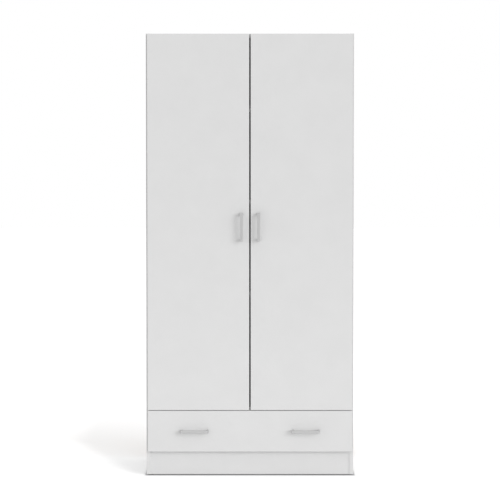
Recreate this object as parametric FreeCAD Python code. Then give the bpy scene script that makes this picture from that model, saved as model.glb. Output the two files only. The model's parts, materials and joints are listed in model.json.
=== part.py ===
"""Two-door wardrobe with a drawer, as separate parts in one frame.

Millimetres. +Z is up, the doors face -Y, +X is to the right of someone
standing in front. The origin is on the floor under the middle of the
overall box.
"""
import FreeCAD, Part
import os

os.makedirs("parts", exist_ok=True)

V = FreeCAD.Vector
X_AXIS = V(1, 0, 0)
Y_AXIS = V(0, 1, 0)
Z_AXIS = V(0, 0, 1)

# ---- overall sizes -------------------------------------------------------
overall_width = 845.0
overall_height = 1800.0
board = 16.0
side_depth = 480.0
back_thickness = 3.0
strip_flange = 0.8

# ---- doors, drawer front and gaps ---------------------------------------
door_thickness = 16.0
door_gap = 3.0
front_reveal = 5.5
centre_gap = 6.0
door_top_drop = 1.5
front_split_gap = 2.5
edge_round = 0.8
band_round = 0.5

# ---- levels above the floor ----------------------------------------------
glide_height = 3.0
plinth_top = 98.0
drawer_front_lift = 0.5
cabinet_floor_top = 279.0
drawer_front_top = 265.8
hat_clear_height = 285.5
upper_shelf_share = 0.7044
lower_shelf_share = 0.3925
top_panel_drop = 1.0

# ---- interior ------------------------------------------------------------
plinth_recess = 3.0
plinth_rear_inset = 20.0
partition_right_face = -14.0
partition_setback = 20.0
shelf_setback = 11.0
shelf_side_play = 1.0
back_play = 2.0
shelf_back_play = 4.0

# ---- handles ---------------------------------------------------------------
handle_projection = 28.0
handle_length = 115.0
handle_bar_width = 12.0
handle_bar_thickness = 5.0
handle_leg = 11.0
door_handle_offset = 34.7
door_handle_height = 1016.0
drawer_handle_offset = 226.0

# ---- cup hinges --------------------------------------------------------------
cup_radius = 17.5
cup_depth = 12.5
cup_wall = 0.8
cup_edge_distance = 3.0
cup_flange = 1.0
pin_edge_distance = 7.2
pin_forward = 11.5
pin_radius = 1.25
knuckle_radius = 2.5
arm_thickness = 2.0
arm_reach = 11.8
arm_half_width = 4.5
hinge_end_distance = 100.0
plate_back = 37.0

# ---- fasteners -------------------------------------------------------------
fit = 0.05
cam_radius = 7.5
cam_depth = 12.5
cam_inset = 34.0
bolt_bore_radius = 4.0
dowel_radius = 4.0
carcass_dowel_length = 24.0
system_hole_radius = 2.5
system_pitch = 32.0
nail_radius = 0.7
nail_length = 20.0
nail_head_radius = 2.2
nail_pitch = 190.0

# ---- drawer ------------------------------------------------------------------
drawer_side_play = 12.7
drawer_board = 12.0
drawer_side_height = 120.0
drawer_box_back_play = 50.0
drawer_bottom_thickness = 3.0
drawer_bottom_lift = 12.0
groove_depth = 6.0
rail_lift = 10.0
rail_sheet = 1.2
roller_radius = 7.0
front_roller_radius = 8.0
axle_radius = 2.2
roller_play = 0.3

# ---- wall brackets -----------------------------------------------------------
bracket_offset = 250.0
bracket_leg = 42.0
bracket_hole_drop = 25.0
wall_hole_radius = 2.75

# ---- derived planes ----------------------------------------------------------
handle_centres = handle_length - handle_leg
drawer_box_depth = side_depth - drawer_box_back_play
rail_length = drawer_box_depth
overall_depth = (strip_flange + back_thickness + side_depth + door_gap
                 + door_thickness + handle_projection)
rear_face = overall_depth / 2
back_rear = rear_face - strip_flange
side_back = back_rear - back_thickness
side_front = side_back - side_depth
door_back = side_front - door_gap
door_front = door_back - door_thickness
side_outer = -overall_width / 2
side_inner = side_outer + board
inner_half = -side_inner
top_panel_top = overall_height - top_panel_drop
top_panel_under = top_panel_top - board
hat_shelf_top = top_panel_under - hat_clear_height
hat_under = hat_shelf_top - board
shelf_zone = hat_under - cabinet_floor_top
upper_shelf_top = cabinet_floor_top + upper_shelf_share * shelf_zone
lower_shelf_top = cabinet_floor_top + lower_shelf_share * shelf_zone
floor_under = cabinet_floor_top - board
base_under = plinth_top
base_top = base_under + board
door_bottom = drawer_front_top + front_split_gap
door_top = overall_height - door_top_drop
door_edge = side_outer + front_reveal
door_free_edge = -centre_gap / 2
pin_inward = front_reveal + pin_edge_distance
arm_inner = pin_inward + arm_reach
partition_left_face = partition_right_face - board
partition_middle = partition_right_face - board / 2
drawer_front_bottom = base_under + drawer_front_lift
hinge_heights = (door_bottom + hinge_end_distance,
                 (lower_shelf_top + upper_shelf_top - board) / 2,
                 door_top - hinge_end_distance)


# ---- small helpers -----------------------------------------------------------
def block(x0, x1, y0, y1, z0, z1):
    """Box between two corners given in any order."""
    corner = V(min(x0, x1), min(y0, y1), min(z0, z1))
    return Part.makeBox(abs(x1 - x0), abs(y1 - y0), abs(z1 - z0), corner)


def rod(radius, length, base, axis):
    """Round bar starting at base and running along axis."""
    return Part.makeCylinder(radius, length, base, axis)


def join(shapes):
    """Touching shapes joined into one solid."""
    return shapes[0].fuse(shapes[1:]).removeSplitter()


def drill(shape, cutters):
    """Shape with every cutter taken out of it."""
    if not cutters:
        return shape
    return shape.cut(cutters)


def mirrored(shapes):
    """The same shapes for the right-hand side."""
    return [shape.mirror(V(0, 0, 0), X_AXIS) for shape in shapes]


def rounded(shape, radius, keep):
    """Shape with the edges that keep accepts rounded over."""
    edges = [edge for edge in shape.Edges if keep(edge)]
    return shape.makeFillet(radius, edges)


def screw(head_radius, head_height, shank_radius, shank_length, seat, axis):
    """Screw whose head sits on seat; axis points the way the tip goes."""
    back = V(axis).multiply(-head_height)
    head = rod(head_radius, head_height, seat.add(back), axis)
    shank = rod(shank_radius, shank_length, seat, axis)
    across = X_AXIS if abs(axis.x) < 0.5 else Y_AXIS
    beside = axis.cross(across)
    socket = head_radius * 0.55
    depth = head_height * 0.5
    deep = back.add(V(axis).multiply(depth / 2))
    cuts = []
    for one, other in ((across, beside), (beside, across)):
        reach = V(one).multiply(socket).add(V(other).multiply(0.35))
        reach = reach.add(V(axis).multiply(depth / 2))
        low = seat.add(deep).sub(reach)
        high = seat.add(deep).add(reach)
        cuts.append(block(low.x, high.x, low.y, high.y, low.z, high.z))
    return head.fuse(shank).removeSplitter().cut(cuts)


def flush_screw(head_radius, head_height, shank_radius, length, face, axis):
    """Screw whose head is sunk level with face."""
    seat = face.add(V(axis).multiply(head_height))
    return screw(head_radius, head_height, shank_radius, length, seat, axis)


def eased_front(panel, front):
    """Board with the two long arrises of its banded front edge eased."""
    return rounded(panel, band_round,
                   lambda edge: abs(edge.BoundBox.YMax - front) < 0.01
                   and edge.Length > 50.0)


def eased_top(panel, top):
    """Drawer board with the two long arrises of its top edge eased."""
    return rounded(panel, band_round,
                   lambda edge: abs(edge.BoundBox.ZMin - top) < 0.01
                   and edge.Length > 50.0)


nodes = {}
holes = {}


def note_hole(node, cutter):
    """Keep a hole to be cut in a node when it is built."""
    holes.setdefault(node, []).append(cutter)


def add(node, shapes):
    """Put shapes into a node."""
    nodes.setdefault(node, []).extend(shapes)


def write_nodes():
    """Cut the noted holes and write one file per node."""
    for node, shapes in nodes.items():
        cutters = holes.get(node, [])
        finished = [drill(shape, cutters) for shape in shapes]
        solids = []
        for shape in finished:
            solids.extend(shape.Solids)
        whole = solids[0] if len(solids) == 1 else Part.makeCompound(solids)
        whole.exportStep("parts/" + node + ".step")


# ---- knock-down fittings -----------------------------------------------------
def cam_joint(panel, mate, locks, bolts, face, toward, y, middle, under):
    """Cam lock in a panel, pulling a bolt that is screwed into its mate.

    face is the x of the mate's surface, toward is +1 or -1 from the mate
    into the panel, middle is the height of the bolt, under is the face the
    cam goes into.
    """
    up = 1.0 if under < middle else -1.0
    into = V(toward, 0, 0)
    cam_x = face + toward * cam_inset
    cam_base = V(cam_x, y, under)
    cam_axis = V(0, 0, up)
    note_hole(panel, rod(cam_radius, cam_depth, cam_base, cam_axis))
    bore = rod(bolt_bore_radius, cam_inset, V(face, y, middle), into)
    note_hole(panel, bore)
    thread_start = V(face - toward * 11.0, y, middle)
    note_hole(mate, rod(2.5, 11.0, thread_start, into))
    body = rod(cam_radius - fit, cam_depth - 0.3, cam_base, cam_axis)
    pocket = rod(4.2, cam_inset, V(face, y, middle), into)
    slot_high = under + up * 1.4
    slot = block(cam_x - 5, cam_x + 5, y - 0.7, y + 0.7, under, slot_high)
    cross = block(cam_x - 0.7, cam_x + 0.7, y - 5, y + 5, under, slot_high)
    add(locks, [body.cut([pocket, slot, cross])])
    thread = rod(2.5 - fit, 11.0, thread_start, into)
    stem_length = cam_inset - 5.0
    collar = rod(3.6, 2.0, V(face, y, middle), into)
    stem = rod(2.4, stem_length, V(face, y, middle), into)
    head_start = V(face + toward * stem_length, y, middle)
    head = rod(3.4, 3.0, head_start, into)
    add(bolts, [join([thread, collar, stem, head])])


def dowel_joint(nodes_joined, dowels, middle_point, axis, length, radius):
    """Wood dowel half in each of two boards."""
    half = V(axis).multiply(-length / 2)
    start = middle_point.add(half)
    for node in nodes_joined:
        end_play = V(axis).multiply(-0.5)
        bore = rod(radius + fit, length + 1.0, start.add(end_play), axis)
        note_hole(node, bore)
    add(dowels, [rod(radius, length, start, axis)])


def fix_panel(panel, middle, under, y_cams, y_dowels):
    """Both ends of a full-width panel fixed to the side panels."""
    for mate, toward in (("left_side_panel", 1.0), ("right_side_panel", -1.0)):
        face = toward * side_inner
        for y in y_cams:
            cam_joint(panel, mate, "carcass_cam_locks", "carcass_cam_bolts",
                      face, toward, y, middle, under)
        for y in y_dowels:
            dowel_joint((panel, mate), "carcass_dowels",
                        V(face + toward * 3.0, y, middle), X_AXIS,
                        carcass_dowel_length, dowel_radius)


def add_board(node, x0, x1, front, back, z0, z1):
    """Carcass board with its front edge banded."""
    add(node, [eased_front(block(x0, x1, front, back, z0, z1), front)])


def build_carcass_boards():
    """Sides, fixed panels, partition, shelves and plinths."""
    low = glide_height
    add_board("left_side_panel", side_outer, side_inner, side_front,
              side_back, low, overall_height)
    add_board("right_side_panel", -side_outer, -side_inner, side_front,
              side_back, low, overall_height)
    for node, top in (("top_panel", top_panel_top),
                      ("cabinet_floor", cabinet_floor_top),
                      ("base_panel", base_top)):
        add_board(node, side_inner, inner_half, side_front, side_back,
                  top - board, top)
    shelf_front = side_front + shelf_setback
    add_board("hat_shelf", side_inner, inner_half, shelf_front,
              side_back - back_play, hat_under, hat_shelf_top)
    add_board("partition_panel", partition_left_face, partition_right_face,
              side_front + partition_setback, side_back - back_play,
              cabinet_floor_top, hat_under)
    for node, top in (("upper_shelf", upper_shelf_top),
                      ("lower_shelf", lower_shelf_top)):
        add_board(node, partition_right_face + shelf_side_play,
                  inner_half - shelf_side_play, shelf_front,
                  side_back - shelf_back_play, top - board, top)
    plinth_face = side_front + plinth_recess
    add("plinth_front", [block(side_inner, inner_half, plinth_face,
                               plinth_face + board, low, base_under)])
    rear = side_back - plinth_rear_inset
    add("plinth_rear", [block(side_inner, inner_half, rear - board, rear,
                              low, base_under)])


def fix_carcass_boards():
    """Cams and dowels that hold the carcass together."""
    front = side_front + 50.0
    rear = side_back - 50.0
    y_cams = (front, rear)
    y_dowels = (front + 32.0, rear - 32.0)
    for panel, top in (("top_panel", top_panel_top),
                       ("hat_shelf", hat_shelf_top),
                       ("cabinet_floor", cabinet_floor_top),
                       ("base_panel", base_top)):
        fix_panel(panel, top - board / 2, top - board, y_cams, y_dowels)
    plinth_mid = (glide_height + base_under) / 2
    for node, y in (("plinth_front", side_front + plinth_recess + board / 2),
                    ("plinth_rear", side_back - plinth_rear_inset - board / 2)):
        for mate, toward in (("left_side_panel", 1.0),
                             ("right_side_panel", -1.0)):
            for z in (plinth_mid - 24.0, plinth_mid + 24.0):
                spot = V(toward * (side_inner + 3.0), y, z)
                dowel_joint((node, mate), "carcass_dowels", spot, X_AXIS,
                            carcass_dowel_length, dowel_radius)
        for x in (side_inner / 2, 0.0, inner_half / 2):
            spot = V(x, y, base_under - 3.0)
            dowel_joint((node, "base_panel"), "carcass_dowels", spot, Z_AXIS,
                        carcass_dowel_length, dowel_radius)
    for y in (front + 40.0, (front + rear) / 2, rear - 40.0):
        for mate, z in (("hat_shelf", hat_under - 3.0),
                        ("cabinet_floor", cabinet_floor_top + 3.0)):
            spot = V(partition_middle, y, z)
            dowel_joint(("partition_panel", mate), "carcass_dowels", spot,
                        Z_AXIS, carcass_dowel_length, dowel_radius)


def build_shelf_pins():
    """Four pins under each loose shelf, and the rows of spare holes."""
    front = side_front + shelf_setback + 50.0
    rear = side_back - shelf_back_play - 50.0
    for top in (upper_shelf_top, lower_shelf_top):
        height = top - board - system_hole_radius + fit
        for node, face, inward in (
                ("partition_panel", partition_right_face, 1.0),
                ("right_side_panel", inner_half, -1.0)):
            into = V(-inward, 0, 0)
            for y in (front, rear):
                for step in (-2, -1, 0, 1, 2):
                    spot = V(face, y, height + step * system_pitch)
                    note_hole(node, rod(system_hole_radius, 9.5, spot, into))
                stub = rod(system_hole_radius - fit, 9.0, V(face, y, height),
                           into)
                rest = rod(system_hole_radius - fit, 8.0, V(face, y, height),
                           V(inward, 0, 0))
                collar = rod(3.6, 1.0, V(face, y, height), V(inward, 0, 0))
                trim = block(face - 12, face + 12, y - 5, y + 5,
                             height + system_hole_radius - fit, height + 5)
                add("shelf_pins", [join([stub, rest, collar]).cut(trim)])


# ---- back panel ---------------------------------------------------------------
def build_back():
    """Two hardboard sheets, the strip over their joint and the nails."""
    margin = 3.0
    low = base_under + 4.0
    high = top_panel_top - 1.0
    seam = partition_middle
    half_web = 1.0
    add("back_panel_left", [block(side_outer + margin, seam - half_web,
                                  side_back, back_rear, low, high)])
    add("back_panel_right", [block(seam + half_web, -side_outer - margin,
                                   side_back, back_rear, low, high)])
    web = block(seam - half_web, seam + half_web, side_back, back_rear,
                low, high)
    flange = block(seam - 11.0, seam + 11.0, back_rear, rear_face, low, high)
    add("back_joint_strip", [join([web, flange])])
    spots = []
    rows = int((high - low - 60.0) // nail_pitch)
    pitch = (high - low - 60.0) / rows
    for step in range(rows + 1):
        z = low + 30.0 + step * pitch
        spots.append(("left_side_panel", side_outer + board / 2, z))
        spots.append(("right_side_panel", -side_outer - board / 2, z))
    for node, top in (("top_panel", top_panel_top),
                      ("cabinet_floor", cabinet_floor_top),
                      ("base_panel", base_top)):
        for x in (-0.72, -0.4, 0.4, 0.72):
            spots.append((node, x * inner_half, top - board / 2))
    for node, x, z in spots:
        sheet = "back_panel_left" if x < seam else "back_panel_right"
        seat = V(x, back_rear, z)
        forward = V(0, -1, 0)
        bore = rod(nail_radius + fit, nail_length + 0.5, seat, forward)
        note_hole(sheet, bore)
        note_hole(node, bore)
        shank = rod(nail_radius, nail_length, seat, forward)
        head = rod(nail_head_radius, strip_flange, seat, Y_AXIS)
        add("back_panel_nails", [join([shank, head])])


# ---- hanging rail ----------------------------------------------------------------
def oval(x0, x1, y, z, half_height, half_width):
    """Upright oval bar along x."""
    reach = half_height - half_width
    middle = block(x0, x1, y - half_width, y + half_width,
                   z - reach, z + reach)
    low = rod(half_width, x1 - x0, V(x0, y, z - reach), X_AXIS)
    high = rod(half_width, x1 - x0, V(x0, y, z + reach), X_AXIS)
    return join([middle, low, high])


def build_hanging_rail():
    """Oval rail under the hat shelf with a screwed socket at each end."""
    y = (side_front + side_back) / 2
    z = hat_under - 52.0
    x0 = side_inner
    x1 = partition_left_face
    base = 3.0
    rail = oval(x0 + base, x1 - base, y, z, 15.0, 7.5)
    bore = oval(x0, x1, y, z, 14.0, 6.5)
    add("hanging_rail", [rail.cut(bore)])
    for node, face, inward in (("left_side_panel", x0, 1.0),
                               ("partition_panel", x1, -1.0)):
        near = min(face, face + inward * base)
        plate = oval(near, near + base, y, z, 33.0, 12.0)
        near = min(face + inward * base, face + inward * 14.0)
        ring = oval(near, near + 11.0, y, z, 18.0, 10.5)
        ring_bore = oval(near, near + 11.0, y, z, 15.3, 7.8)
        add("rail_sockets", [join([plate, ring.cut(ring_bore)])])
        for dz in (-25.5, 25.5):
            seat = V(face + inward * base, y, z + dz)
            into = V(-inward, 0, 0)
            note_hole("rail_sockets", rod(1.7, base, seat, into))
            note_hole(node, rod(1.7, 13.0 + 1.0, seat, into))
            add("fitting_screws", [screw(3.2, 1.8, 1.6, 13.0, seat, into)])


# ---- floor glides, wall brackets, door bumpers --------------------------------
def build_small_fittings():
    """Nail-in glides, wall brackets and the pads the doors close on."""
    for x in (side_outer + board / 2, -side_outer - board / 2):
        node = "left_side_panel" if x < 0 else "right_side_panel"
        for y in (side_front + 35.0, side_back - 35.0):
            disc = rod(7.5, glide_height, V(x, y, 0), Z_AXIS)
            disc = rounded(disc, 0.8,
                           lambda edge: edge.BoundBox.ZMax < 0.01)
            pin = rod(1.2, 12.0, V(x, y, glide_height), Z_AXIS)
            bore = rod(1.2 + fit, 12.5, V(x, y, glide_height), Z_AXIS)
            note_hole(node, bore)
            add("floor_glides", [join([disc, pin])])
    bracket = 2.0
    for x in (-bracket_offset, bracket_offset):
        leg = block(x - 20, x + 20, side_back - bracket, side_back,
                    top_panel_under - bracket_leg, top_panel_under)
        arm = block(x - 20, x + 20, side_back - 34.0, side_back,
                    top_panel_under - bracket, top_panel_under)
        wall_hole = rod(wall_hole_radius, back_thickness + bracket + 0.2,
                        V(x, side_back - bracket - 0.1,
                          top_panel_under - bracket_hole_drop),
                        Y_AXIS)
        sheet = "back_panel_left" if x < 0 else "back_panel_right"
        note_hole(sheet, wall_hole)
        add("wall_brackets", [join([leg, arm]).cut(wall_hole)])
        for dx in (-11.0, 11.0):
            seat = V(x + dx, side_back - 20.0, top_panel_under - bracket)
            bore = rod(1.7, 13.0, seat, Z_AXIS)
            note_hole("wall_brackets", bore)
            note_hole("top_panel", bore)
            add("fitting_screws", [screw(3.2, 1.8, 1.6, 12.0, seat, Z_AXIS)])
    for x in (-30.0, 30.0):
        for z in (top_panel_under + 7.0, floor_under + 10.5):
            pad = rod(4.0, door_gap - 0.4, V(x, side_front, z), V(0, -1, 0))
            add("door_bumpers", [pad])


# ---- cup hinges --------------------------------------------------------------------
def hinge_x(inward):
    """x of a point measured inward from the left side's outer face."""
    return side_outer + inward


def hinge_y(forward):
    """y of a point measured forward from the side's front edge."""
    return side_front - forward


def hinge_block(u0, u1, v0, v1, z0, z1):
    """Box in hinge measures: u inward, v forward."""
    return block(hinge_x(u0), hinge_x(u1), hinge_y(v0), hinge_y(v1), z0, z1)


def build_left_hinge(z, parts):
    """One cup hinge of the left door, as lists of shapes by role."""
    forward = V(0, -1, 0)
    inward = X_AXIS
    cup_u = front_reveal + cup_edge_distance + cup_radius
    mouth = V(hinge_x(cup_u), door_back, z)
    parts["cup_bores"].append(rod(cup_radius + fit, cup_depth + 0.2, mouth,
                                  forward))
    shell = rod(cup_radius, cup_depth, mouth, forward)
    lip = V(hinge_x(cup_u), door_back + cup_flange, z)
    ring = rod(cup_radius + 1.5, cup_flange, lip, forward)
    ear_v = door_gap - cup_flange
    ears = hinge_block(cup_u + 2.0, cup_u + 17.0, ear_v, door_gap,
                       z - 28, z + 28)
    ears = rounded(ears, 4.0,
                   lambda edge: abs(edge.BoundBox.YLength - cup_flange) < 0.01
                   and edge.BoundBox.XLength < 0.01)
    hollow = rod(cup_radius - cup_wall, cup_depth - cup_wall + cup_flange, lip,
                 forward)
    inside = rod(cup_radius - cup_wall + 0.3, cup_depth - 0.3, mouth, forward)
    pin_point = V(hinge_x(pin_inward), hinge_y(pin_forward), z)
    lugs = []
    for z0, z1 in ((z - 9.0, z - 5.5), (z + 5.5, z + 9.0)):
        lug = hinge_block(pin_inward - 4, pin_inward + 4, pin_forward - 3,
                          door_gap + cup_depth, z0, z1)
        lugs.append(lug.common(inside))
    pin_bore = rod(pin_radius + fit, 18.0, pin_point.sub(V(0, 0, 9.0)), Z_AXIS)
    body = join([shell, ring, ears]).cut(hollow)
    body = join([body] + lugs).cut(pin_bore)
    parts["pins"].append(rod(pin_radius, 18.0, pin_point.sub(V(0, 0, 9.0)),
                             Z_AXIS))
    cup_screw_bores = []
    for dz in (-22.5, 22.5):
        seat = V(hinge_x(cup_u + 9.5), hinge_y(ear_v), z + dz)
        cup_screw_bores.append(rod(1.7, 12.0, seat, forward))
        parts["cup_screws"].append(screw(3.0, 1.2, 1.6, 11.0, seat, forward))
    parts["cup_bores"].extend(cup_screw_bores)
    parts["cups"].append(body.cut(cup_screw_bores))
    arm_outer = arm_inner + arm_thickness
    toe_v = pin_forward + knuckle_radius
    knuckle = rod(knuckle_radius, 2 * arm_half_width,
                  pin_point.sub(V(0, 0, arm_half_width)), Z_AXIS)
    toe = hinge_block(pin_inward, arm_outer, toe_v - arm_thickness, toe_v,
                      z - arm_half_width, z + arm_half_width)
    neck = hinge_block(arm_inner, arm_outer, -8.0, toe_v,
                       z - arm_half_width, z + arm_half_width)
    body_arm = hinge_block(arm_inner, arm_outer, -66.0, -6.0, z - 8, z + 8)
    walls = [hinge_block(board + 3.4, arm_inner, -66.0, -10.0, z - 8, z - 6.5),
             hinge_block(board + 3.4, arm_inner, -66.0, -10.0, z + 6.5, z + 8)]
    knuckle_bore = rod(pin_radius + 0.08, 30.0, pin_point.sub(V(0, 0, 15)),
                       Z_AXIS)
    fixing = V(hinge_x(arm_outer), hinge_y(-52.0), z)
    fixing_bore = rod(2.1, 5.0, fixing, V(-1, 0, 0))
    arm = join([knuckle, toe, neck, body_arm] + walls)
    parts["arms"].append(arm.cut([knuckle_bore, fixing_bore]))
    parts["plate_screws"].append(screw(3.6, 1.8, 2.0, 4.5, fixing,
                                       V(-1, 0, 0)))
    wing = hinge_block(board, board + 3.0, -plate_back - 8, -plate_back + 8,
                       z - 25, z + 25)
    wing = rounded(wing, 6.0,
                   lambda edge: edge.BoundBox.XLength > 2.9
                   and edge.BoundBox.YLength < 0.01
                   and edge.BoundBox.ZLength < 0.01)
    spine = hinge_block(board, board + 3.0, -64.0, -12.0, z - 6, z + 6)
    ridge = hinge_block(board + 3.0, arm_inner, -62.0, -14.0, z - 5, z + 5)
    plate_bores = [fixing_bore]
    for dz in (-system_pitch / 2, system_pitch / 2):
        seat = V(hinge_x(board + 3.0), hinge_y(-plate_back), z + dz)
        bore = rod(2.4, 13.5, seat, V(-1, 0, 0))
        plate_bores.append(bore)
        parts["side_bores"].append(bore)
        parts["plate_screws"].append(screw(3.6, 1.8, 2.35, 13.0, seat,
                                           V(-1, 0, 0)))
    parts["plates"].append(join([wing, spine, ridge]).cut(plate_bores))


def build_hinges():
    """All the hinges of both doors."""
    roles = ("cup_bores", "side_bores", "cups", "pins", "cup_screws",
             "arms", "plates", "plate_screws")
    parts = {role: [] for role in roles}
    for z in hinge_heights:
        build_left_hinge(z, parts)
    for side, place in (("left", list), ("right", mirrored)):
        for cutter in place(parts["cup_bores"]):
            note_hole(side + "_door_panel", cutter)
        for cutter in place(parts["side_bores"]):
            note_hole(side + "_side_panel", cutter)
        add(side + "_hinge_cups", place(parts["cups"] + parts["pins"]))
        add(side + "_cup_screws", place(parts["cup_screws"]))
        add(side + "_hinge_arms", place(parts["arms"]))
        add(side + "_hinge_plates", place(parts["plates"]))
        add("hinge_plate_screws", place(parts["plate_screws"]))


# ---- handles ---------------------------------------------------------------------
def build_handle(centre_x, centre_z, upright, panel, handle, screws):
    """Flat bar on two legs, screwed from behind the panel."""
    half = handle_length / 2
    half_bar = handle_bar_width / 2
    dx, dz = (half_bar, half) if upright else (half, half_bar)
    bar_front = -overall_depth / 2
    bar_back = bar_front + handle_bar_thickness
    bar = block(centre_x - dx, centre_x + dx, bar_front, bar_back,
                centre_z - dz, centre_z + dz)
    bar = rounded(bar, 1.2,
                  lambda edge: abs(edge.BoundBox.YMax - bar_front) < 0.01)
    pieces = [bar]
    bores = []
    for sign in (-1.0, 1.0):
        reach = sign * handle_centres / 2
        x = centre_x if upright else centre_x + reach
        z = centre_z + reach if upright else centre_z
        along = handle_leg / 2
        wide, tall = (half_bar, along) if upright else (along, half_bar)
        pieces.append(block(x - wide, x + wide, bar_back, door_front,
                            z - tall, z + tall))
        seat = V(x, door_back, z)
        forward = V(0, -1, 0)
        note_hole(panel, rod(2.2, door_thickness, seat, forward))
        bores.append(rod(2.05, door_thickness + 13.0, seat, forward))
        add(screws, [screw(4.0, 2.2, 2.0, door_thickness + 12.0, seat,
                           forward)])
    add(handle, [join(pieces).cut(bores)])


def round_front_panel(panel):
    """Door or drawer front with its front arrises eased."""
    return rounded(panel, edge_round,
                   lambda edge: abs(edge.BoundBox.YMax - door_front) < 0.01)


def build_doors():
    """Both door panels and their handles."""
    left = block(door_edge, door_free_edge, door_front, door_back,
                 door_bottom, door_top)
    left = round_front_panel(left)
    for side, sign, shapes in (("left", -1.0, [left]),
                               ("right", 1.0, mirrored([left]))):
        add(side + "_door_panel", shapes)
        build_handle(sign * door_handle_offset, door_handle_height, True,
                     side + "_door_panel", side + "_door_handle",
                     side + "_handle_screws")


# ---- drawer runners -----------------------------------------------------------------
rail_floor = base_top + rail_lift
rear_axle_height = rail_floor + rail_sheet + roller_radius + roller_play
channel_inside = 2 * (roller_radius + roller_play)
channel_top = rail_floor + 2 * rail_sheet + channel_inside
runner_flange_under = channel_top + 0.4
front_axle_height = runner_flange_under - roller_play - front_roller_radius
drawer_side_under = rail_floor + rail_sheet
front_axle_y = side_front + 14.0
rail_front_y = side_front + 4.0
drawer_rail_front_y = door_back + 2.0
drawer_rail_back_y = drawer_rail_front_y + rail_length - 10.0
rear_axle_y = drawer_rail_back_y - 12.0
roller_reach = 9.2


def runner_block(u0, u1, y0, y1, z0, z1):
    """Box measured from the left side panel's inner face."""
    return block(side_inner + u0, side_inner + u1, y0, y1, z0, z1)


def build_left_runner(parts):
    """Roller runner of the drawer's left side, as lists by role."""
    rear_y = rail_front_y + rail_length
    flange_front = front_axle_y + front_roller_radius + 3.0
    web = runner_block(0, rail_sheet, rail_front_y, rear_y, rail_floor,
                       channel_top)
    low = runner_block(rail_sheet, 10.2, flange_front, rear_y, rail_floor,
                       rail_floor + rail_sheet)
    high = runner_block(rail_sheet, 10.2, flange_front, rear_y,
                        channel_top - rail_sheet, channel_top)
    stop = runner_block(rail_sheet, 8.0, rear_y - rail_sheet, rear_y,
                        rail_floor + rail_sheet, channel_top - rail_sheet)
    front_axle = V(side_inner + rail_sheet, front_axle_y, front_axle_height)
    axle = rod(axle_radius, roller_reach - 0.2, front_axle, X_AXIS)
    cap_at = front_axle.add(V(roller_reach - 0.6, 0, 0))
    cap = rod(3.4, 0.9, cap_at, X_AXIS)
    rail = join([web, low, high, stop, axle, cap])
    bores = []
    for y in (rail_front_y + 60.0, rail_front_y + 220.0, rear_y - 40.0):
        face = V(side_inner + rail_sheet, y, rear_axle_height)
        bores.append(rod(3.05, rail_sheet, face, V(-1, 0, 0)))
        parts["side_bores"].append(rod(1.7, 13.5, face, V(-1, 0, 0)))
        parts["cabinet_screws"].append(
            flush_screw(3.0, rail_sheet, 1.6, 11.0, face, V(-1, 0, 0)))
    parts["cabinet_rails"].append(rail.cut(bores))
    roller = rod(front_roller_radius, roller_reach - 1.6,
                 front_axle.add(V(0.4, 0, 0)), X_AXIS)
    parts["front_rollers"].append(
        roller.cut(rod(axle_radius + 0.08, 30, front_axle, X_AXIS)))

    play = drawer_side_play
    web = runner_block(play - rail_sheet, play, drawer_rail_front_y,
                       drawer_rail_back_y, rail_floor,
                       runner_flange_under + rail_sheet)
    shelf = runner_block(2.0, play - rail_sheet, drawer_rail_front_y,
                         drawer_rail_back_y, runner_flange_under,
                         runner_flange_under + rail_sheet)
    lip = runner_block(play, play + drawer_board - 1.0, drawer_rail_front_y,
                       drawer_rail_back_y, rail_floor, drawer_side_under)
    rear_axle = V(side_inner + play - rail_sheet, rear_axle_y,
                  rear_axle_height)
    axle = rod(axle_radius, roller_reach, rear_axle, V(-1, 0, 0))
    cap = rod(3.4, 0.8, rear_axle.sub(V(roller_reach, 0, 0)), V(-1, 0, 0))
    rail = join([web, shelf, lip, axle, cap])
    bores = []
    for y in (drawer_rail_front_y + 40.0, drawer_rail_front_y + 200.0,
              drawer_rail_back_y - 60.0):
        face = V(side_inner + play - rail_sheet, y, rear_axle_height)
        bores.append(rod(3.05, rail_sheet, face, X_AXIS))
        parts["drawer_bores"].append(rod(1.7, 10.5, face, X_AXIS))
        parts["drawer_screws"].append(
            flush_screw(3.0, rail_sheet, 1.6, 8.5, face, X_AXIS))
    parts["drawer_rails"].append(rail.cut(bores))
    roller = rod(roller_radius, roller_reach - 1.4,
                 rear_axle.sub(V(roller_reach - 0.4, 0, 0)), X_AXIS)
    parts["rear_rollers"].append(
        roller.cut(rod(axle_radius + 0.08, 30, rear_axle, V(-1, 0, 0))))


def build_runners():
    """Runners for both sides of the drawer."""
    roles = ("side_bores", "cabinet_screws", "cabinet_rails", "front_rollers",
             "drawer_bores", "drawer_screws", "drawer_rails", "rear_rollers")
    parts = {role: [] for role in roles}
    build_left_runner(parts)
    for side, place in (("left", list), ("right", mirrored)):
        for cutter in place(parts["side_bores"]):
            note_hole(side + "_side_panel", cutter)
        for cutter in place(parts["drawer_bores"]):
            note_hole("drawer_" + side + "_side", cutter)
        add(side + "_cabinet_rail", place(parts["cabinet_rails"]))
        add(side + "_drawer_rail", place(parts["drawer_rails"]))
        add("cabinet_rail_screws", place(parts["cabinet_screws"]))
        add("drawer_screws", place(parts["drawer_screws"]))
        add("cabinet_rollers", place(parts["front_rollers"]))
        add("drawer_rollers", place(parts["rear_rollers"]))


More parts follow.
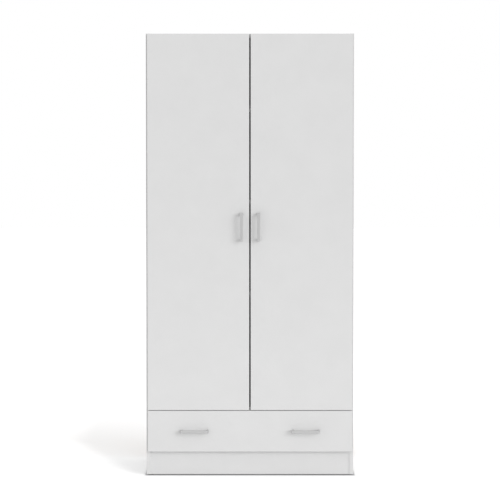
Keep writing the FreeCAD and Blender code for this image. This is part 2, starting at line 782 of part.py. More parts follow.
# ---- drawer ----------------------------------------------------------------------------
def build_drawer():
    """Drawer front, box, bottom, handles and its fittings."""
    front = block(door_edge, -door_edge, door_front, door_back,
                  drawer_front_bottom, drawer_front_top)
    add("drawer_front", [round_front_panel(front)])
    box_back = door_back + drawer_box_depth
    outer = side_inner + drawer_side_play
    inner = outer + drawer_board
    low = drawer_side_under
    high = low + drawer_side_height
    side = eased_top(block(outer, inner, door_back, box_back, low, high), high)
    add("drawer_left_side", [side])
    add("drawer_right_side", mirrored([side]))
    bottom_low = low + drawer_bottom_lift
    bottom_high = bottom_low + drawer_bottom_thickness
    play = 0.2
    back_top = high - 10.0
    add("drawer_back", [eased_top(block(inner, -inner, box_back - drawer_board,
                                        box_back, bottom_high, back_top),
                                  back_top)])
    add("drawer_bottom", [block(inner - groove_depth, -inner + groove_depth,
                                door_back - groove_depth, box_back,
                                bottom_low, bottom_high)])
    groove = block(inner - groove_depth - play, -inner + groove_depth + play,
                   door_back - groove_depth - play, box_back + 1.0,
                   bottom_low, bottom_high + play)
    for node in ("drawer_front", "drawer_left_side", "drawer_right_side"):
        note_hole(node, groove)
    for x in (-0.6, 0.0, 0.6):
        seat = V(x * inner, box_back - drawer_board / 2, bottom_low)
        bore = rod(1.7, 16.0, seat, Z_AXIS)
        note_hole("drawer_bottom", bore)
        note_hole("drawer_back", bore)
        add("drawer_screws", [screw(3.0, 1.4, 1.6, 15.0, seat, Z_AXIS)])
    fix_drawer_corners(outer, inner, box_back, low, high)
    for sign, name in ((-1.0, "left"), (1.0, "right")):
        build_handle(sign * drawer_handle_offset,
                     (drawer_front_bottom + drawer_front_top) / 2, False,
                     "drawer_front", "drawer_" + name + "_handle",
                     "drawer_handle_screws")


def fix_drawer_corners(outer, inner, box_back, low, high):
    """Cams and dowels at the front, long screws at the back."""
    forward = V(0, -1, 0)
    for sign, node in ((1.0, "drawer_left_side"), (-1.0, "drawer_right_side")):
        middle = sign * (outer + inner) / 2
        face = sign * inner
        for z in (low + 38.0, high - 22.0):
            cam_y = door_back + 28.0
            cam_axis = V(-sign, 0, 0)
            cam_base = V(face, cam_y, z)
            bore = rod(2.6, 28.0, V(middle, door_back, z), Y_AXIS)
            note_hole(node, rod(cam_radius, 9.5, cam_base, cam_axis))
            note_hole(node, bore)
            note_hole("drawer_front", rod(2.5, 11.0, V(middle, door_back, z),
                                          forward))
            cam = rod(cam_radius - fit, 9.3, cam_base, cam_axis)
            slot = block(face - 1.2, face + 1.2, cam_y - 5, cam_y + 5,
                         z - 0.7, z + 0.7)
            cross = block(face - 1.2, face + 1.2, cam_y - 0.7, cam_y + 0.7,
                          z - 5, z + 5)
            pocket = rod(3.2, 28.0, V(middle, door_back, z), Y_AXIS)
            add("drawer_cam_locks", [cam.cut([slot, cross, pocket])])
            thread = rod(2.5 - fit, 11.0, V(middle, door_back, z), forward)
            stem = rod(2.2, 24.0, V(middle, door_back, z), Y_AXIS)
            add("drawer_cam_bolts", [join([thread, stem])])
        spot = V(middle, door_back + 3.0, (low + high) / 2 + 8.0)
        dowel_joint((node, "drawer_front"), "drawer_dowels", spot, Y_AXIS,
                    22.0, 3.0)
        for z in (low + 40.0, high - 30.0):
            outside = V(sign * outer, box_back - drawer_board / 2, z)
            inward = V(sign, 0, 0)
            note_hole(node, rod(3.05, 2.4, outside, inward))
            note_hole(node, rod(1.8, drawer_board, outside, inward))
            note_hole("drawer_back", rod(1.8, 42.0, outside, inward))
            add("drawer_screws", [flush_screw(3.0, 2.4, 1.75, 36.0, outside,
                                              inward)])


build_carcass_boards()
fix_carcass_boards()
build_shelf_pins()
build_back()
build_hanging_rail()
build_small_fittings()
build_hinges()
build_doors()
build_runners()
build_drawer()
write_nodes()
print("nodes", len(nodes))
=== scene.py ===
"""White two-door wardrobe with a drawer: finishes, fittings and studio.

Metres, in the frame of the CAD model: +Z is up and the doors face -Y.
"""
import json
import math

import bmesh
import bpy
from mathutils import Matrix, Vector


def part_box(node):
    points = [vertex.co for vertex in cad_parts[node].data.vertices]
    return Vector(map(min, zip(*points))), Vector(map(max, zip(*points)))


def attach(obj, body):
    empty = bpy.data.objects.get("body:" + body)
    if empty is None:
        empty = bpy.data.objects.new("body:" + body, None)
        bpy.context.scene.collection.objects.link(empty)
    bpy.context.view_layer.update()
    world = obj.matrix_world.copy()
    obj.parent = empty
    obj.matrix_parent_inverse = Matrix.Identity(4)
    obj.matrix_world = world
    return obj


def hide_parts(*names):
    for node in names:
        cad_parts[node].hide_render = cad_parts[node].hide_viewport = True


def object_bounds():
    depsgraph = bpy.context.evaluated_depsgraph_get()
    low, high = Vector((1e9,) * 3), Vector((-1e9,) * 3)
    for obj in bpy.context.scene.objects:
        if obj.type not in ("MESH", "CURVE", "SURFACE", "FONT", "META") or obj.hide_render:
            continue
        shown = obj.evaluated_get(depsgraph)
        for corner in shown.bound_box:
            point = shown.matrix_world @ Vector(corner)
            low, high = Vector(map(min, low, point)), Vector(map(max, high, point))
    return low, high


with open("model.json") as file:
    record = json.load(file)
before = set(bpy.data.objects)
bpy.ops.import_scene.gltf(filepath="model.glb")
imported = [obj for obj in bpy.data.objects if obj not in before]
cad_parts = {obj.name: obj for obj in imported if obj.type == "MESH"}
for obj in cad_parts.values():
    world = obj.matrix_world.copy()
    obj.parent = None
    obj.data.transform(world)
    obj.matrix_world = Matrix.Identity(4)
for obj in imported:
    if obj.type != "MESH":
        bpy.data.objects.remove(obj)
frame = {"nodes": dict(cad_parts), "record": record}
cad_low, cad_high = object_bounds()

MM = 0.001
X, Y, Z = 0, 1, 2
nodes = frame["nodes"]
BODY_OF = {node: body
           for body, members in frame["record"]["behaviour"]["bodies"].items()
           for node in members}

# ---- finishes --------------------------------------------------------------

WHITE_FOIL = "#DDDDDD"
WHITE_SHADE = "#DBDBDB"
TAPE_SHADE = "#D9D9D9"
DRAWN_OUT = 60              # length of drawn or brushed lines, in widths
SCREEN_PITCH = 3.0 * MM
WAVE_RADIANS = 20           # phase of the wave texture over one metre
SCREEN_WAVE = 2 * math.pi / SCREEN_PITCH / WAVE_RADIANS
# Sockets of the colour mix node.
MIX_SHARE, MIX_FIRST, MIX_SECOND, MIXED = 0, 6, 7, 2
# Nearly all of a noise lies in this range, which is stretched to the whole.
NOISE_RANGE = {"From Min": 0.3, "From Max": 0.7}


def linear(code):
    """sRGB hex colour as linear RGBA."""
    channels = [int(code[i:i + 2], 16) / 255 for i in (1, 3, 5)]
    return [c / 12.92 if c <= 0.04045 else ((c + 0.055) / 1.055) ** 2.4
            for c in channels] + [1.0]


def add(tree, kind, settings=None, values=None, links=None):
    """Node of a kind, with its settings, socket values and incoming links."""
    made = tree.nodes.new(kind)
    for name, value in (settings or {}).items():
        setattr(made, name, value)
    for name, value in (values or {}).items():
        made.inputs[name].default_value = value
    for name, source in (links or {}).items():
        tree.links.new(source, made.inputs[name])
    return made


def blank(name):
    """Material with nothing in its node tree but object coordinates."""
    material = bpy.data.materials.new(name)
    material.use_nodes = True
    tree = material.node_tree
    tree.nodes.clear()
    place = add(tree, "ShaderNodeTexCoord").outputs["Object"]
    return material, tree, place


def finish(name, values):
    """Plain finish: its material, node tree, shader and coordinates."""
    material, tree, place = blank(name)
    shader = add(tree, "ShaderNodeBsdfPrincipled", values=values)
    add(tree, "ShaderNodeOutputMaterial",
        links={"Surface": shader.outputs["BSDF"]})
    return material, tree, shader, place


def grain(tree, place, size, stretch=(1, 1, 1), detail=3.0, rough=0.5):
    """Noise whose features are size metres across, drawn out along an axis."""
    turned = add(tree, "ShaderNodeMapping",
                 values={"Scale": [1 / s for s in stretch]},
                 links={"Vector": place})
    noise = add(tree, "ShaderNodeTexNoise",
                values={"Scale": 1 / size, "Detail": detail,
                        "Roughness": rough},
                links={"Vector": turned.outputs["Vector"]})
    return noise.outputs["Fac"]


def surface(tree, shader, tint=None, tones=None, gloss=None, rough=None,
            height=None, depth=0.0, strength=1.0):
    """Let patterns steer a finish's colour, roughness and relief.

    The colour goes from one tone to the other with tint, the roughness from
    one value of rough to the other with gloss, and height raises the surface
    by up to depth metres.
    """
    if tint is not None:
        share = add(tree, "ShaderNodeMapRange", values=NOISE_RANGE,
                    links={"Value": tint})
        colour = add(tree, "ShaderNodeMix", {"data_type": "RGBA"},
                     {MIX_FIRST: linear(tones[0]),
                      MIX_SECOND: linear(tones[1])},
                     {MIX_SHARE: share.outputs["Result"]})
        tree.links.new(colour.outputs[MIXED], shader.inputs["Base Color"])
    if gloss is not None:
        dull = add(tree, "ShaderNodeMapRange",
                   values={**NOISE_RANGE,
                           "To Min": rough[0], "To Max": rough[1]},
                   links={"Value": gloss})
        tree.links.new(dull.outputs["Result"], shader.inputs["Roughness"])
    if height is not None:
        bump = add(tree, "ShaderNodeBump",
                   values={"Strength": strength, "Distance": depth},
                   links={"Height": height})
        tree.links.new(bump.outputs["Normal"], shader.inputs["Normal"])


def melamine_foil():
    """Melamine foil pressed on chipboard: white, satin, with a faint pearl.

    The pearl is drawn at 1.6 mm, some five times as coarse as a real one.
    """
    made, tree, shader, place = finish("melamine_foil", {"IOR": 1.5})
    pearl = grain(tree, place, 1.6 * MM, detail=2.0)
    surface(tree, shader, tint=grain(tree, place, 90 * MM),
            tones=(WHITE_FOIL, WHITE_SHADE), gloss=pearl, rough=(0.36, 0.48),
            height=pearl, depth=0.02 * MM, strength=0.5)
    return made


def edge_tape():
    """ABS tape ironed on the cut edges: smoother, with fine drawn lines.

    The lines are drawn 0.5 mm wide, coarser than real ones, so that they show.
    """
    made, tree, shader, place = finish("abs_edge_tape", {"IOR": 1.53})
    drawn = grain(tree, place, 0.5 * MM, (DRAWN_OUT, 1, DRAWN_OUT))
    surface(tree, shader, tint=drawn, tones=(WHITE_FOIL, TAPE_SHADE),
            gloss=drawn, rough=(0.28, 0.38),
            height=drawn, depth=0.01 * MM, strength=0.4)
    return made


def raw_chipboard():
    """Pressed wood flakes: unfinished edges and the walls of drilled holes."""
    made, tree, shader, place = finish("raw_chipboard", {"Roughness": 0.85})
    flake = add(tree, "ShaderNodeTexVoronoi", values={"Scale": 1 / (1.8 * MM)},
                links={"Vector": place})
    flakes = add(tree, "ShaderNodeMix", {"data_type": "RGBA"},
                 {MIX_FIRST: linear("#8F6D45"), MIX_SECOND: linear("#D3B588")},
                 {MIX_SHARE: flake.outputs["Color"]})
    pressed = add(tree, "ShaderNodeMix", {"data_type": "RGBA"},
                  {MIX_SHARE: 0.35, MIX_SECOND: linear("#BC9A6A")},
                  {MIX_FIRST: flakes.outputs[MIXED]})
    tree.links.new(pressed.outputs[MIXED], shader.inputs["Base Color"])
    surface(tree, shader, height=grain(tree, place, 0.5 * MM),
            depth=0.15 * MM)
    return made


def lacquered_hardboard():
    """White lacquer rolled on hardboard: flat, with a slight orange peel."""
    made, tree, shader, place = finish("lacquered_hardboard", {"IOR": 1.48})
    peel = grain(tree, place, 2.5 * MM, detail=1.0)
    surface(tree, shader, tint=grain(tree, place, 60 * MM),
            tones=("#D9D9D8", "#D6D6D5"), gloss=peel, rough=(0.42, 0.56),
            height=peel, depth=0.03 * MM, strength=0.6)
    return made


def screen_side_hardboard():
    """Wet-pressed hardboard: brown fibre with the imprint of a wire screen.

    The screen is drawn at 3 mm, two or three times as coarse as a real one,
    so that it shows.
    """
    made, tree, shader, place = finish("screen_side_hardboard",
                                       {"Roughness": 0.8})
    fibre = grain(tree, place, 2.5 * MM, (1, 1, 1.3), detail=5.0, rough=0.7)
    blotch = grain(tree, place, 120 * MM)
    share = add(tree, "ShaderNodeMapRange", values=NOISE_RANGE,
                links={"Value": fibre})
    fibres = add(tree, "ShaderNodeMix", {"data_type": "RGBA"},
                 {MIX_FIRST: linear("#7F5C3B"), MIX_SECOND: linear("#95714C")},
                 {MIX_SHARE: share.outputs["Result"]})
    stain = add(tree, "ShaderNodeMapRange",
                values={**NOISE_RANGE, "To Max": 0.6},
                links={"Value": blotch})
    stained = add(tree, "ShaderNodeMix", {"data_type": "RGBA"},
                  {MIX_SECOND: linear("#8A6844")},
                  {MIX_SHARE: stain.outputs["Result"],
                   MIX_FIRST: fibres.outputs[MIXED]})
    tree.links.new(stained.outputs[MIXED], shader.inputs["Base Color"])
    waves = [add(tree, "ShaderNodeTexWave", {"bands_direction": direction},
                 {"Scale": SCREEN_WAVE, "Distortion": 0.4},
                 {"Vector": place}).outputs["Fac"] for direction in "XZ"]
    woven = add(tree, "ShaderNodeMath", {"operation": "MULTIPLY"},
                links={0: waves[0], 1: waves[1]})
    surface(tree, shader, height=woven.outputs["Value"], depth=0.4 * MM)
    return made


def satin_metal(name, along, tones, rough):
    """Die-cast metal brushed along its length, then satin nickel plated.

    Real brush lines are too fine to show, so they are drawn 0.35 mm wide.
    """
    made, tree, shader, place = finish(name, {"Metallic": 1.0,
                                              "Anisotropic": 0.35})
    stretch = [DRAWN_OUT if axis == along else 1 for axis in (X, Y, Z)]
    brushed = grain(tree, place, 0.35 * MM, stretch, detail=4.0)
    surface(tree, shader, tint=brushed, tones=tones,
            height=brushed, depth=0.01 * MM, strength=0.5)
    lines = add(tree, "ShaderNodeMapRange",
                values={**NOISE_RANGE, "To Min": rough[0], "To Max": rough[1]},
                links={"Value": brushed})
    haze = add(tree, "ShaderNodeMapRange",
               values={**NOISE_RANGE, "To Min": -0.03, "To Max": 0.03},
               links={"Value": grain(tree, place, 12 * MM)})
    dull = add(tree, "ShaderNodeMath", {"operation": "ADD"},
               links={0: lines.outputs["Result"], 1: haze.outputs["Result"]})
    tree.links.new(dull.outputs["Value"], shader.inputs["Roughness"])
    return made


def plated_metal(name, tones, rough, size):
    """Stamped or cast metal with a thin plating that clouds a little."""
    made, tree, shader, place = finish(name, {"Metallic": 1.0})
    cloud = grain(tree, place, size, detail=4.0)
    surface(tree, shader, tint=cloud, tones=tones, gloss=cloud, rough=rough,
            height=grain(tree, place, 0.6 * MM), depth=0.01 * MM,
            strength=0.4)
    return made


def epoxy_coated_steel():
    """White powder coat baked on rolled steel: soft gloss and orange peel."""
    made, tree, shader, place = finish("epoxy_coated_steel", {
        "IOR": 1.55, "Coat Weight": 0.3, "Coat Roughness": 0.15})
    peel = grain(tree, place, 1.2 * MM, detail=1.5)
    surface(tree, shader, tint=peel, tones=("#DEDEDD", "#D8D8D7"),
            gloss=peel, rough=(0.25, 0.36),
            height=peel, depth=0.015 * MM, strength=0.4)
    return made


def moulded_plastic(name, tones, rough, size):
    """Injection-moulded plastic: even colour, fine eroded mould texture.

    The texture is drawn coarser than a real one, so that it shows.
    """
    made, tree, shader, place = finish(name, {
        "IOR": 1.52, "Subsurface Weight": 0.05,
        "Subsurface Radius": (2 * MM, 2 * MM, 2 * MM)})
    eroded = grain(tree, place, size, detail=2.0)
    surface(tree, shader, tint=eroded, tones=tones, gloss=eroded, rough=rough,
            height=eroded, depth=0.02 * MM, strength=0.6)
    return made


def clear_polyurethane():
    """Cast soft polyurethane dots: clear, glossy, very slightly clouded."""
    made, tree, shader, place = finish("clear_polyurethane", {
        "IOR": 1.48, "Transmission Weight": 0.9})
    cloud = grain(tree, place, 2 * MM)
    colour = add(tree, "ShaderNodeMix", {"data_type": "RGBA"},
                 {MIX_FIRST: linear("#F4F5F3"), MIX_SECOND: linear("#E6E8E4")},
                 {MIX_SHARE: cloud})
    tree.links.new(colour.outputs[MIXED], shader.inputs["Base Color"])
    surface(tree, shader, gloss=cloud, rough=(0.05, 0.15))
    return made


def beech():
    """Turned beech dowel rod: straight pale grain with darker flecks."""
    made, tree, shader, place = finish("beech", {"Roughness": 0.6})
    growth = grain(tree, place, 0.8 * MM, (20, 3, 3), detail=4.0)
    surface(tree, shader, tint=growth, tones=("#D9B98B", "#B98F5E"),
            height=growth, depth=0.05 * MM)
    return made


FOIL = melamine_foil()
TAPE = edge_tape()
CHIPBOARD = raw_chipboard()
LACQUER = lacquered_hardboard()
FIBRE = screen_side_hardboard()
UPRIGHT_SATIN = satin_metal("satin_nickel_upright", Z,
                            ("#DEDEDE", "#D2D2D2"), (0.30, 0.42))
# The level handles' metal is drawn darker than the upright handles', though the castings
# are alike: painted shade.
SHADED_LEVEL_SATIN = satin_metal("satin_nickel_level_painted_shade", X,
                          ("#D5D5D5", "#C9C9C9"), (0.30, 0.42))
NICKEL = plated_metal("nickel_plated_steel",
                      ("#D6D2CA", "#C5C1B8"), (0.18, 0.30), 9 * MM)
ZINC = plated_metal("zinc_die_casting",
                    ("#B3B6BA", "#9A9DA1"), (0.35, 0.50), 4 * MM)
SCREW_STEEL = plated_metal("zinc_plated_screw_steel",
                           ("#C6C8CB", "#ABADB0"), (0.22, 0.34), 3 * MM)
CHROME = plated_metal("chromed_tube",
                      ("#D2D4D6", "#C8CACC"), (0.04, 0.09), 25 * MM)
EPOXY = epoxy_coated_steel()
NYLON = moulded_plastic("moulded_nylon",
                        ("#DEDDD6", "#D3D2CA"), (0.38, 0.50), 0.8 * MM)
GLIDE_NYLON = moulded_plastic("grey_nylon_glide",
                              ("#C9C8C3", "#BCBBB6"), (0.40, 0.52), 0.8 * MM)
PVC = moulded_plastic("extruded_white_pvc",
                      ("#DEDEDC", "#D6D6D4"), (0.30, 0.40), 1.5 * MM)
CLEAR = clear_polyurethane()
BEECH = beech()

# ---- mesh tools ------------------------------------------------------------

WELD = 0.002 * MM           # corners this close are joined
CURVED = math.radians(32)   # flatter corners than this are shaded as curved
FLAT = math.radians(1)      # flatter corners than this are dissolved
ARRIS = math.radians(50)    # sharper corners than this are softened


def mesh_from(name, shape):
    """Finished mesh of a shape, with flat and curved faces told apart."""
    data = bpy.data.meshes.new(name)
    bmesh.ops.recalc_face_normals(shape, faces=shape.faces)
    shape.to_mesh(data)
    shape.free()
    stored_normals = data.attributes.get("custom_normal")
    if stored_normals:
        data.attributes.remove(stored_normals)
    for face in data.polygons:
        face.use_smooth = True
    data.set_sharp_from_angle(angle=CURVED)
    return data


def place_piece(name, data, material, stands_for, added=False):
    """Put a piece in the scene, riding on the body of what it stands for.

    An added piece goes with the node it names and leaves it showing.
    """
    piece = bpy.data.objects.new(name, data)
    bpy.context.scene.collection.objects.link(piece)
    if material is not None:
        data.materials.append(material)
    level = piece.modifiers.new("flat faces stay flat", "WEIGHTED_NORMAL")
    level.keep_sharp = True
    level.weight = 100
    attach(piece, BODY_OF[stands_for[0]])
    if not added:
        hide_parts(*stands_for)


def welded_copy(node):
    """A copy of the node's shape, with its split corners joined again."""
    shape = bmesh.new()
    shape.from_mesh(nodes[node].data)
    bmesh.ops.remove_doubles(shape, verts=shape.verts, dist=WELD)
    return shape


def solids_of(node):
    """Corner points of each separate solid in a node."""
    shape = welded_copy(node)
    shape.verts.ensure_lookup_table()
    seen = set()
    solids = []
    for start in shape.verts:
        if start.index in seen:
            continue
        seen.add(start.index)
        group, waiting = [], [start]
        while waiting:
            vert = waiting.pop()
            group.append(vert.co.copy())
            for edge in vert.link_edges:
                other = edge.other_vert(vert)
                if other.index not in seen:
                    seen.add(other.index)
                    waiting.append(other)
        solids.append(group)
    shape.free()
    return solids


def extent(points):
    """Lowest corner, highest corner and middle of some points."""
    low = Vector([min(p[i] for p in points) for i in range(3)])
    high = Vector([max(p[i] for p in points) for i in range(3)])
    return low, high, (low + high) / 2


def lathe(profile, segments=32, start=0.0):
    """Shape turned about z from (radius, height) points; radius 0 is a tip."""
    shape = bmesh.new()
    rings = []
    for radius, height in profile:
        if radius == 0:
            rings.append([shape.verts.new((0, 0, height))])
            continue
        ring = []
        for step in range(segments):
            angle = start + 2 * math.pi * step / segments
            ring.append(shape.verts.new((radius * math.cos(angle),
                                         radius * math.sin(angle), height)))
        rings.append(ring)
    for low, high in zip(rings, rings[1:]):
        for step in range(segments):
            after = (step + 1) % segments
            corners = [low[step % len(low)], low[after % len(low)],
                       high[after % len(high)], high[step % len(high)]]
            corners = list(dict.fromkeys(corners))
            if len(corners) > 2:
                shape.faces.new(corners)
    return shape


def arc(centre, radius, start, end, steps):
    """Points of an arc in a profile, angles in degrees."""
    points = []
    for step in range(steps + 1):
        angle = math.radians(start + (end - start) * step / steps)
        points.append((centre[0] + radius * math.cos(angle),
                       centre[1] + radius * math.sin(angle)))
    return points


def pointed_along(direction):
    """Turn that brings +z on to a direction."""
    return Vector((0, 0, 1)).rotation_difference(Vector(direction)).to_matrix()


def copies(name, master, spots):
    """One mesh with a copy of master at each (point, direction)."""
    joined = bmesh.new()
    for point, direction in spots:
        turned = master.copy()
        turned.transform(Matrix.Translation(point)
                         @ pointed_along(direction).to_4x4())
        joined.from_mesh(turned)
        bpy.data.meshes.remove(turned)
    bpy.data.meshes.remove(master)
    return mesh_from(name, joined)


def eased(node, material, ease):
    """The node's own shape with its arrises softened."""
    name = node + "_eased"
    shape = welded_copy(node)
    bmesh.ops.dissolve_limit(shape, angle_limit=FLAT,
                             verts=shape.verts, edges=shape.edges)
    arrises = [edge for edge in shape.edges
               if edge.is_manifold and edge.calc_face_angle() > ARRIS]
    bmesh.ops.bevel(shape, geom=arrises, offset=ease, segments=2,
                    profile=0.5, affect="EDGES", clamp_overlap=False)
    place_piece(name, mesh_from(name, shape), material, [node])


def dress(node, material):
    """Give a part that keeps its own shape its finish."""
    part = nodes[node]
    part.data.materials.clear()
    part.data.materials.append(material)


# ---- boards ----------------------------------------------------------------

LOW_FACE, HIGH_FACE, TAPED, CUT = range(4)
TAPE_REACH = 1.1 * MM       # rounded corners this near an edge are taped too
ON_FACE = 0.01 * MM         # faces this close to a board's face are on it
SQUARE_ON = 0.99            # cosine to a board's thickness for its two faces
LEANING = 0.05              # least cosine to an edge's way out for its tape


def board_piece(node, thickness_axis, taped, faces=(FOIL, FOIL),
                core=CHIPBOARD):
    """Board with foil on its faces, tape on some edges and raw chip elsewhere.

    taped lists (axis, side) pairs, side being -1 for the low edge and +1 for
    the high one. faces are the finishes of the low and the high face.
    """
    shape = welded_copy(node)
    low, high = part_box(node)
    for face in shape.faces:
        middle = face.calc_center_median()
        normal = face.normal
        kind = CUT
        if abs(normal[thickness_axis]) > SQUARE_ON:
            if middle[thickness_axis] - low[thickness_axis] < ON_FACE:
                kind = LOW_FACE
            elif high[thickness_axis] - middle[thickness_axis] < ON_FACE:
                kind = HIGH_FACE
        for axis, side in taped:
            inside = (middle[axis] - low[axis] if side < 0
                      else high[axis] - middle[axis])
            if (kind == CUT and inside < TAPE_REACH
                    and normal[axis] * side > LEANING):
                kind = TAPED
        face.material_index = kind
    data = mesh_from(node + "_board", shape)
    for material in (*faces, TAPE, core):
        data.materials.append(material)
    place_piece(node + "_board", data, None, [node])


def build_boards():
    """Carcass boards, fronts and drawer box, each with its own taped edges."""
    front, rear = (Y, -1), (Y, 1)
    bottom, top = (Z, -1), (Z, 1)
    for node in ("left_side_panel", "right_side_panel"):
        board_piece(node, X, [front, top, bottom])
    board_piece("partition_panel", X, [front])
    for node in ("top_panel", "cabinet_floor", "base_panel", "hat_shelf",
                 "upper_shelf", "lower_shelf"):
        board_piece(node, Z, [front])
    board_piece("plinth_front", Y, [bottom])
    board_piece("plinth_rear", Y, [])
    for node in ("left_door_panel", "right_door_panel", "drawer_front"):
        board_piece(node, Y, [(X, -1), (X, 1), bottom, top])
    for node in ("drawer_left_side", "drawer_right_side"):
        board_piece(node, X, [top, rear])
    board_piece("drawer_back", Y, [top])
    for node in ("back_panel_left", "back_panel_right"):
        board_piece(node, Y, [], (LACQUER, FIBRE), FIBRE)
    board_piece("drawer_bottom", Z, [], (FIBRE, LACQUER), FIBRE)


# ---- handles ---------------------------------------------------------------

BAR_THICK = 5.0 * MM
FOOT_LENGTH = 11.0 * MM
OUTER_BEND = 3.2 * MM
INNER_BEND = 2.0 * MM
HANDLE_ROUND = 0.9 * MM


def rounded_corners(points, radii, steps=6):
    """Outline with each corner replaced by an arc of its own radius."""
    outline = []
    count = len(points)
    for i, (corner, radius) in enumerate(zip(points, radii)):
        before = (points[i - 1] - corner).normalized()
        after = (points[(i + 1) % count] - corner).normalized()
        if radius == 0:
            outline.append(corner)
            continue
        half = before.angle(after) / 2
        centre = (corner
                  + (before + after).normalized() * radius / math.sin(half))
        start = corner + before * radius / math.tan(half) - centre
        end = corner + after * radius / math.tan(half) - centre
        for step in range(steps + 1):
            outline.append(centre + start.slerp(end, step / steps) * radius)
    return outline


def handle_piece(node, material):
    """Flat bar whose ends turn back to the door, one casting."""
    low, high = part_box(node)
    long_axis = X if high.x - low.x > high.z - low.z else Z
    wide_axis = Z if long_axis == X else X
    start, end = low[long_axis], high[long_axis]
    face, foot = low.y, high.y
    paths = []
    for inset, front, bend in ((0, face, OUTER_BEND),
                               (FOOT_LENGTH, face + BAR_THICK, INNER_BEND)):
        corners = [Vector((start + inset, foot)),
                   Vector((start + inset, front)),
                   Vector((end - inset, front)), Vector((end - inset, foot))]
        paths.append(rounded_corners(corners, [0, bend, bend, 0]))
    outer, inner = paths
    shape = bmesh.new()
    rings = []
    for path, side in ((outer, low), (outer, high), (inner, high),
                       (inner, low)):
        ring = []
        for along, out in path:
            spot = Vector((0, out, 0))
            spot[long_axis] = along
            spot[wide_axis] = side[wide_axis]
            ring.append(shape.verts.new(spot))
        rings.append(ring)
    last = len(rings[0]) - 1
    for one, other in zip(rings, rings[1:] + rings[:1]):
        for i in range(last):
            shape.faces.new([one[i], one[i + 1], other[i + 1], other[i]])
    for i in (0, last):
        shape.faces.new([ring[i] for ring in rings])
    rims = [shape.edges.get((ring[i], ring[i + 1]))
            for ring in rings for i in range(last)]
    bmesh.ops.bevel(shape, geom=rims, offset=HANDLE_ROUND, segments=4,
                    profile=0.5, affect="EDGES", clamp_overlap=False)
    place_piece(node + "_casting", mesh_from(node + "_casting", shape),
                material, [node])


# ---- screws and nails ------------------------------------------------------

SCREW_CORNERS = 24          # the cross recess needs this many round a head
THREAD_PITCH = 1.4 * MM
RECESS_TAPER = 0.6          # width of the recess at its foot, in its widths
NEARLY = 0.05 * MM          # points this close count as level


def cross_recess(shape, ring, arm, half_width, depth):
    """Tapered cross sunk in the flat disc inside a ring of corners."""
    outline = []
    for quarter in range(4):
        turn = Matrix.Rotation(quarter * math.pi / 2, 3, "Z")
        for x, y in ((arm, -half_width), (arm, half_width),
                     (half_width, half_width)):
            outline.append(turn @ Vector((x, y, 0)))
    brim = [shape.verts.new(spot) for spot in outline]
    foot = [shape.verts.new((spot.x * RECESS_TAPER, spot.y * RECESS_TAPER,
                             depth)) for spot in outline]
    for i, vert in enumerate(brim):
        after = (i + 1) % len(brim)
        shape.faces.new([vert, ring[2 * i], ring[2 * i + 1],
                         ring[(2 * i + 2) % len(ring)], brim[after]])
        shape.faces.new([vert, brim[after], foot[after], foot[i]])
    shape.faces.new(foot)


def pan_screw(head, rise, shank, length, thread=THREAD_PITCH):
    """Pan-head screw with a cross recess, head top at z = 0, tip at +z."""
    flat, rounding = 0.72 * head, 0.45 * rise
    root, tip = 0.78 * shank, 0.7 * shank
    end = rise + length
    z = rise + 0.6 * MM
    profile = [(flat, 0)]
    profile += arc((head - rounding, rounding), rounding, 270, 360, 5)
    profile += [(head, rise), (shank, rise), (root, z)]
    while z + thread <= end - 1.6 * MM:
        profile += [(shank, z + 0.5 * thread), (root, z + thread)]
        z += thread
    profile += [(tip, end - 1.2 * MM), (0, end)]
    shape = lathe(profile, SCREW_CORNERS, start=-math.pi / 12)
    shape.verts.ensure_lookup_table()
    cross_recess(shape, list(shape.verts)[:SCREW_CORNERS], arm=0.55 * head,
                 half_width=0.13 * head, depth=0.6 * rise)
    return mesh_from("screw", shape)


def wire_nail(head, rise, shank, length):
    """Wire nail with a thin flat head and a sharpened tip."""
    edge, point = 0.3 * rise, 2.5 * shank
    profile = [(0, 0), (head - edge, 0), (head, edge), (head, rise - edge),
               (head - edge, rise), (shank, rise),
               (shank, rise + length - point), (0, rise + length)]
    return mesh_from("nail", lathe(profile, 14))


def off_axis(point, middle, axis):
    """Distance of a point from the line through middle along an axis."""
    away = point - middle
    away[axis] = 0
    return away.length


def fastener_spots(node):
    """(top of head, way the tip points, head, rise, shank, length) of each."""
    found = []
    for points in solids_of(node):
        low, high, middle = extent(points)
        size = high - low
        gaps = [abs(size[(i + 1) % 3] - size[(i + 2) % 3]) for i in range(3)]
        axis = gaps.index(min(gaps))
        ends = (low[axis], high[axis])
        radii = [max(off_axis(p, middle, axis) for p in points
                     if abs(p[axis] - end) < NEARLY) for end in ends]
        head_end = 0 if radii[0] > radii[1] else 1
        head, shank = radii[head_end], radii[1 - head_end]
        way = Vector((0, 0, 0))
        way[axis] = 1 - 2 * head_end
        top = middle.copy()
        top[axis] = ends[head_end]
        rise = max(abs(p[axis] - top[axis]) for p in points
                   if off_axis(p, middle, axis) > head - NEARLY)
        found.append((top, way, head, rise, shank, size[axis] - rise))
    return found


def fasteners(node, maker):
    """Detailed screws or nails where the node's plain ones are."""
    kinds = {}
    for top, way, *sizes in fastener_spots(node):
        key = tuple(round(size / MM, 1) for size in sizes)
        kinds.setdefault(key, []).append((top, way))
    joined = bmesh.new()
    for key, spots in kinds.items():
        part = copies(node, maker(*[size * MM for size in key]), spots)
        joined.from_mesh(part)
        bpy.data.meshes.remove(part)
    place_piece(node + "_turned", mesh_from(node + "_turned", joined),
                SCREW_STEEL, [node])


